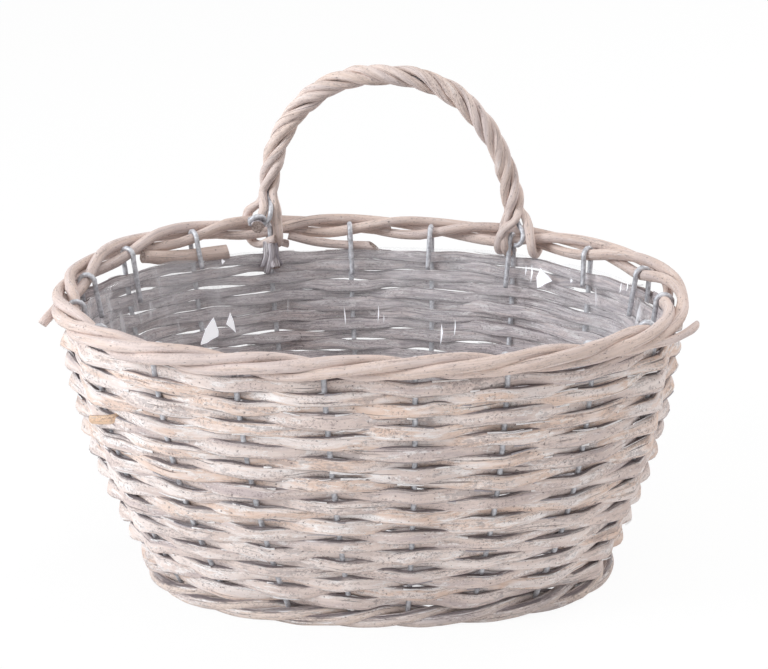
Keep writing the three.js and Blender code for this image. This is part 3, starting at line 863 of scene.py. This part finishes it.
# Handle
handle = {
    "leftFoot": 10.5, "rightFoot": 7.5, "rise": 113 * mm, "leftSquareness": 2.4,
    "rightSquareness": 2.15, "rods": 4, "rodRadius": 2.8 * mm, "shownRodRadius": 3.0 * mm,
    "twistSteps": 16, "bundleHeights": (27 * mm, 20 * mm), "sections": 150, "sides": 14,
    "unevenTwist": (0.16, 0.3), "unevenRing": (0.12, 0.6 * mm), "unevenGirth": (0.09, 0.12),
    "cutEnd": {"places": [(9, 122, 1), (10.5, 136, 4.5), (11, 146, 9)], "radii": (3.4, 4.3)},
    # Cut ends bound together under the left foot: mm along at the top and at the bottom, mm up, radius in mm
    "bundle": [(3, 6, -20, 2.8), (0.5, 3.2, -24, 2.4), (-2, -2, -25, 3.0), (-3.5, -7, -18.5, 1.3),
               (-3, -5.5, -20, 1.6)],
    "facingEnd": {"places": [(-8, -11, 0), (-13, -14.5, -1.6), (-19, -18.5, -2.2)], "radius": 3.3},
    "ring": {"place": (-9 * mm, 14 * mm, 10 * mm), "radius": 5.1 * mm, "tilt": 3 * mm, "drift": 0.22 * mm},
    # The core wire's hook at the right foot, in the places of footRoutes below
    "hook": [(-5, 108, 5), (-8.5, 122, 3.2), (-9.8, 140, 2.4), (-9, 158, 2), (-6.5, 170, 1.8),
             (-4, 172, 1.8)],
}
feet = []
for bays in (handle["leftFoot"], handle["rightFoot"]):
    place = rimFrame(bays)
    feet.append({"bays": bays, "frame": place, "middle": inFrame(place, rimRing["middle"], 0)})
archAcross = feet[1]["middle"] - feet[0]["middle"]
archBack = -unit(np.cross(archAcross, (0, 0, 1)))
archAngle = np.linspace(0, pi, 401)
archPower = 2 / np.where(np.cos(archAngle) > 0, handle["leftSquareness"], handle["rightSquareness"])
archShare = (1 - np.sign(np.cos(archAngle)) * np.abs(np.cos(archAngle)) ** archPower) / 2
arch = feet[0]["middle"] + archAcross * archShare[:, None]
arch[:, 2] += handle["rise"] * np.abs(np.sin(archAngle)) ** archPower
archLength = lengthsAlong(arch)
bundleFirst = handle["bundleHeights"][0] / archLength[-1]
bundleLast = 1 - handle["bundleHeights"][1] / archLength[-1]
handleRing = handle["rodRadius"] * border["twistStretch"] + stake["clearance"]
handleRing = handleRing / math.sin(pi / handle["rods"])


def archPlace(share, radius, angle):
    at, before, after = (
        pointsAt(np.clip(share + shift, 0, 1) * archLength[-1], archLength, arch)
        for shift in (0, -0.004, 0.004)
    )
    outwards = unit(np.cross(unit(after - before), archBack))
    direction = archBack * np.cos(angle)[:, None] + outwards * np.sin(angle)[:, None]
    return at + direction * np.reshape(radius, (-1, 1)), direction


# Where each rod goes at a foot, from the handle down to its tip: mm along the rim to the left, degrees round
# the rim (90 is above it, 180 inside the basket, 0 outside) and mm off its skin
footRoutes = [
    [
        [(5, 85, 9), (9, 65, 3), (11, 30, 0.4), (11.5, -30, 0.3), (10, -90, 0.3), (6, -135, 0.5),
         (1, -165, 1.2), (-3, -178, 3)],
        [(5, 112, 9), (7.5, 124, 4), (9.3, 132, 2.2)],
        [(-5, 112, 7), (-5, 135, 1.2), (-5.5, 175, 0.3), (-6, 225, 0.4), (-9, 262, 1.0), (-14, 262, 2.5)],
        [(-4, 72, 7), (-5, 45, 0.8), (-5, 0, 0.3), (-5, -50, 0.4), (-5, -95, 0.6)],
    ],
    [
        [(-8, 85, 5), (-12.5, 115, 1.0), (-15.5, 150, -0.3), (-16.5, 190, -0.9), (-16, 235, -0.9),
         (-15, 280, -0.5)],
        [(-3, 108, 7), (3.5, 130, 4.5), (7, 155, 1.2), (8, 190, 0), (8, 230, -0.4), (7, 270, 0)],
        [(5, 112, 2.5), (4.5, 140, 0.4), (3.5, 180, 0.3), (3, 225, 0.3), (2.5, 270, 0.5)],
        [(5, 72, 3), (6, 40, 0.5), (6, 0, 0.3), (6, -60, 0.3), (5, -105, 0.4)],
    ],
]


def rimSkin(foot, along, degrees, off, radius):
    place = rimFrame(foot["bays"] + along * mm / bayLength)
    angle = math.radians(degrees)
    off = off * mm + border["rimRadius"] + radius
    direction = place["out"] * math.cos(angle) + place["up"] * math.sin(angle)
    out = rimRing["middle"] + (rimRing["wide"] + off) * math.cos(angle)
    return inFrame(place, out, (rimRing["high"] + off) * math.sin(angle)), direction


def handleRod(i):
    rng = np.random.default_rng(500 + i)
    step = 2 * pi / handle["rods"]
    part = np.linspace(0, 1, 49)
    distance = part * archLength[-1]
    angle = step * (i + 0.5) + step * handle["twistSteps"] * part
    angle = angle + waver(rng, distance, *handle["unevenTwist"])
    radius = handleRing * 1.04 + waver(rng, distance, *handle["unevenRing"])
    points, outs = archPlace(between(bundleFirst, bundleLast, part), radius, angle)
    down = [rimSkin(feet[0], *spot, handle["rodRadius"]) for spot in footRoutes[0][i]][::-1]
    up = [rimSkin(feet[1], *spot, handle["rodRadius"]) for spot in footRoutes[1][i]]
    allPoints = [*(p for p, _ in down), *points, *(p for p, _ in up)]
    allOuts = [*(o for _, o in down), *outs, *(o for _, o in up)]
    path = smoothPath(allPoints, handle["sections"], allOuts)
    distance = np.linspace(0, archLength[-1] * 1.2, handle["sections"] + 1)
    girth = 2 * handle["shownRodRadius"] * rng.uniform(0.97, 1.04)
    girth = girth * (1 + waver(rng, distance, *handle["unevenGirth"]))
    return layRod(path, girth * 1.1, girth * 0.96, handle["sides"], "handleWillow", 120 + i * 3.7,
                  lumps=0.04, knots=6, slant=(0.3, 0.3))


# The thick cut end that the core wire is wound round
def handleCutEnd():
    points, outs = zip(*(rimSkin(feet[0], *spot, 4.2 * mm) for spot in handle["cutEnd"]["places"]))
    return shortRod(points, outs, handle["cutEnd"]["radii"], "stubWillow", 133.0, 12, 14,
                    lumps=0.05, knots=1, slant=(0, 0.15))


def boundEnds():
    place = feet[0]["frame"]
    inner = -rimRing["reach"]
    ends = []
    for k, (top, bottom, low, radius) in enumerate(handle["bundle"]):
        inside = inner - (11.5 + 2.8 * (k % 2)) * mm
        spots = [(inside + 5 * mm, -4, top * 0.8), (inside, -12, top), (inside - 1.2 * mm, low, bottom)]
        points = [inFrame(place, out, up * mm, along * mm) for out, up, along in spots]
        ends.append(shortRod(points, [place["out"]] * 3, (radius, 0.82 * radius), "stubWillow", 140 + k * 1.9,
                             lumps=0.1, knots=2, slant=(0, 0.5)))
    facing = handle["facingEnd"]
    points = [inFrame(place, inner + out * mm, up * mm, along * mm) for out, up, along in facing["places"]]
    ends.append(shortRod(points, [place["along"]] * 3, (facing["radius"],) * 2, "stubWillow", 152.0,
                         lumps=0.08, knots=1, slant=(0, 0.2)))
    return ends


for i in range(handle["rods"]):
    rods = [handleRod(i)]
    if i == 1:
        rods.append(handleCutEnd())
    if i == 2:
        rods.extend(boundEnds())
    joined("willow", rods, f"handle_rod_{i + 1}")


# The core wire: wound round the cut end at the left foot, hooked under the rim at the right one
def handleCore():
    ring = handle["ring"]
    place = feet[0]["frame"]
    inner = -rimRing["reach"]
    out, up, along = ring["place"]
    ringMiddle = inFrame(place, inner + out, up, along)
    points = []
    for k in range(13):
        angle = math.radians(20 - 34 * k)
        turn = place["along"] * math.cos(angle) + np.array((0, 0, 1)) * math.sin(angle)
        outwards = (1 - math.sin(angle)) * ring["tilt"] - k * ring["drift"]
        points.append(ringMiddle + turn * ring["radius"] + place["out"] * outwards)
    points.append(inFrame(place, inner - 7 * mm, 13 * mm, 2.5 * mm))
    points.append(inFrame(place, inner - 2 * mm, 20 * mm, -0.5 * mm))
    part = np.linspace(0, 1, 13)
    points.extend(archPlace(between(bundleFirst, bundleLast, part), 0 * part, 0 * part)[0])
    for spot in handle["hook"]:
        points.append(rimSkin(feet[1], *spot, stake["radius"])[0])
    return wireRod(points, 150, 240)


joined("wire", [handleCore()], "handle_core_wire", name="wire_handle_core")
print("handle")

# Liner
liner = {
    "below": 0.7 * mm, "corner": 9 * mm, "thickness": 0.25 * mm, "baseThickness": 6.8 * mm,
    "levels": 34, "around": 228, "floorShare": 0.22, "cornerShare": 0.34, "clearOfRods": 0.9 * mm,
}


def linerSheet():
    bpy.ops.mesh.primitive_grid_add(x_subdivisions=liner["around"], y_subdivisions=liner["levels"], size=2)
    sheet = bpy.context.object
    local = verticesOf(sheet)
    bays = (local[:, 0] + 1) / 2 * stake["count"]
    level = (local[:, 1] + 1) / 2
    floor = footHeight + stake["radius"] + liner["baseThickness"] + stake["clearance"]
    top = weaveTop + weave["rowClearance"] - liner["below"]
    outside = weaveReach + weave["rodThickness"] / 2 + liner["clearOfRods"]
    corner = liner["corner"]
    rise = np.clip((level - liner["cornerShare"]) / (1 - liner["cornerShare"]), 0, 1)
    turn = (level - liner["floorShare"]) / (liner["cornerShare"] - liner["floorShare"])
    turn = np.clip(turn, 0, 1) * pi / 2
    height = floor + corner * (1 - np.cos(turn)) + (top - floor - corner) * rise
    inset = outside + corner * (1 - np.sin(turn))
    swing = bays / stake["count"] * 2 * pi
    ripple = 0.5 * np.sin(swing * 19 + 1.3 * np.sin(swing * 3)) + 0.35 * np.sin(swing * 43 + rise * 5 + 2)
    ripple = ripple + 0.6 * np.sin(swing * 7 + rise * 9)
    inset = inset + (0.9 + ripple) * mm * smoothstep(level, 0.25, 0.6)
    wavyTop = 0.9 * np.sin(swing * 5 + 1) + 0.6 * np.sin(swing * 13) - 0.8
    height = height + smoothstep(rise, 0.8, 1) * wavyTop * mm
    place = wallFrame(bays, height)
    flat = place["out"][:, :2]
    points = place["at"].copy()
    points[:, :2] -= inset[:, None] * flat / (flat**2).sum(-1, keepdims=True)
    centre = middle + (wall["baseShiftRight"], -wall["baseShiftFront"], floor)
    inner = np.clip(level / liner["floorShare"], 0, 1)[:, None]
    points = np.where(inner < 1, centre + (points - centre) * inner, points)
    sheet.data.vertices.foreach_set("co", points.ravel())
    sheet.data.update()
    setMode("EDIT")
    bpy.ops.mesh.select_all(action="SELECT")
    bpy.ops.mesh.remove_doubles(threshold=0.00002)
    bpy.ops.mesh.normals_make_consistent(inside=False)
    setMode("OBJECT")
    bpy.ops.object.shade_smooth()
    film = sheet.modifiers.new("film", "SOLIDIFY")
    film.thickness = liner["thickness"]
    film.offset = 0
    bpy.ops.object.modifier_apply(modifier="film")
    sheet.data.materials.clear()
    sheet.data.materials.append(materials["clearFilm"])
    return sheet


joined("film", [linerSheet()], "liner")
print("liner")

# Base panel: a woven mat on five sticks
base = {
    "sticks": 5, "stickRadius": 2.2 * mm, "rodPitch": 7.4 * mm, "rodWidth": 7.2 * mm,
    "rodThickness": 2.9 * mm, "crossSpacing": 21 * mm, "lift": 1.55 * mm, "tuckedIn": 6 * mm,
}


def levelPath(x, y, z):
    at = np.stack(np.broadcast_arrays(x, y, z), -1)
    return {"at": at, "out": np.tile((0.0, 0.0, -1.0), (len(at), 1))}


panelLow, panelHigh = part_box("base_weave")
panelMiddle = (panelLow + panelHigh) / 2
panelHalf = (panelHigh - panelLow) / 2 + Vector((1, 1, 0)) * base["tuckedIn"]
rods = []
lines = int(2 * panelHalf.y / base["rodPitch"])
for k in range(lines):
    y = (k - (lines - 1) / 2) * base["rodPitch"]
    level = (abs(y) + base["rodWidth"] / 4) / panelHalf.y
    if level >= 1:
        continue
    half = panelHalf.x * (1 - level ** wall["baseSquareness"]) ** (1 / wall["baseSquareness"])
    if half < base["crossSpacing"]:
        continue
    x = np.linspace(-half, half, 73)
    lift = base["lift"] * np.cos(pi * x / base["crossSpacing"] + pi * (k % 2))
    path = levelPath(panelMiddle.x + x, panelMiddle.y + y, panelMiddle.z + lift)
    seed = 150 + k * 1.3
    rods.append(layRod(path, base["rodWidth"], base["rodThickness"], 10, "baseWillow", seed, split=True))
joined("willow", rods, "base_weave")

for k in range(base["sticks"]):
    low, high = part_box(f"base_stick_{k + 1}")
    y = np.linspace(low.y, high.y, 25)
    girth = 2 * base["stickRadius"] * (1 + 0.06 * np.sin(y * 90 + k))
    path = levelPath((low.x + high.x) / 2, y, (low.z + high.z) / 2)
    rod = layRod(path, girth, girth, 12, "baseWillow", 180 + k * 2.1, lumps=0.02)
    joined("willow", [rod], f"base_stick_{k + 1}")
print("base panel")

# Floor, light and camera
studio = {
    "cameraElevation": 20.0, "cameraDistance": 1.257, "cameraAim": (0.0092, -0.0012, 0.1600),
    "lens": 90.06, "worldStrength": 0.62, "floorGlow": 0.93,
}


def seenDirectly(tree):
    rays = addNode(tree, "LightPath").outputs
    seen = calc("MAXIMUM", rays["Is Camera Ray"], rays["Is Glossy Ray"])
    return calc("MAXIMUM", seen, rays["Is Transmission Ray"])


def makeFloor():
    bpy.ops.mesh.primitive_plane_add(size=24, location=(0, 0, 0))
    floor = bpy.context.object
    floor.name = "floor"
    material, tree, shader = newMaterial("white_floor")
    tree.nodes.remove(shader)
    matt = addNode(tree, "BsdfDiffuse", {"Color": (0.92, 0.92, 0.92, 1)})
    glow = addNode(tree, "Emission", {"Color": (1, 1, 1, 1), "Strength": 1.0})
    share = times(seenDirectly(tree), studio["floorGlow"])
    both = addNode(tree, "MixShader", {0: share, 1: matt.outputs[0], 2: glow.outputs[0]})
    fill(tree.nodes["Material Output"], {"Surface": both.outputs[0]})
    floor.data.materials.append(material)


def makeWorld():
    world = bpy.data.worlds.new("studio")
    scene.world = world
    world.use_nodes = True
    strength = fade(seenDirectly(world.node_tree), 0, 1, 1.0, studio["worldStrength"])
    fill(world.node_tree.nodes["Background"], {"Color": (1, 1, 1, 1), "Strength": strength})


def addLamp(name, place, aim, size, power, color=(1, 1, 1)):
    light = bpy.data.lights.new(name, "AREA")
    light.shape = "DISK"
    light.size = size
    light.color = color
    light.energy = power
    lamp = bpy.data.objects.new(name, light)
    lamp.location = place
    lamp.rotation_euler = (Vector(aim) - Vector(place)).to_track_quat("-Z", "Y").to_euler()
    scene.collection.objects.link(lamp)


makeFloor()
makeWorld()
addLamp("key", (-2.0, -0.7, 1.0), (0, 0, 0.1), size=0.8, power=36, color=(0.9, 0.96, 1.0))
addLamp("far", (1.7, 1.5, 1.5), (0, 0, 0.15), size=0.9, power=20)
addLamp("top", (0.2, -0.6, 2.2), (0, 0, 0.1), size=1.2, power=12)

elevation = math.radians(studio["cameraElevation"])
aim = Vector(studio["cameraAim"])
cameraData = bpy.data.cameras.new("camera")
cameraData.lens = studio["lens"]
cameraData.sensor_width = 36
camera = bpy.data.objects.new("camera", cameraData)
camera.location = aim + studio["cameraDistance"] * Vector((0, -math.cos(elevation), math.sin(elevation)))
camera.rotation_euler = (aim - camera.location).to_track_quat("-Z", "Y").to_euler()
scene.collection.objects.link(camera)
scene.camera = camera
scene.view_settings.view_transform = "Standard"

for template in straightRods.values():
    bpy.data.objects.remove(template)
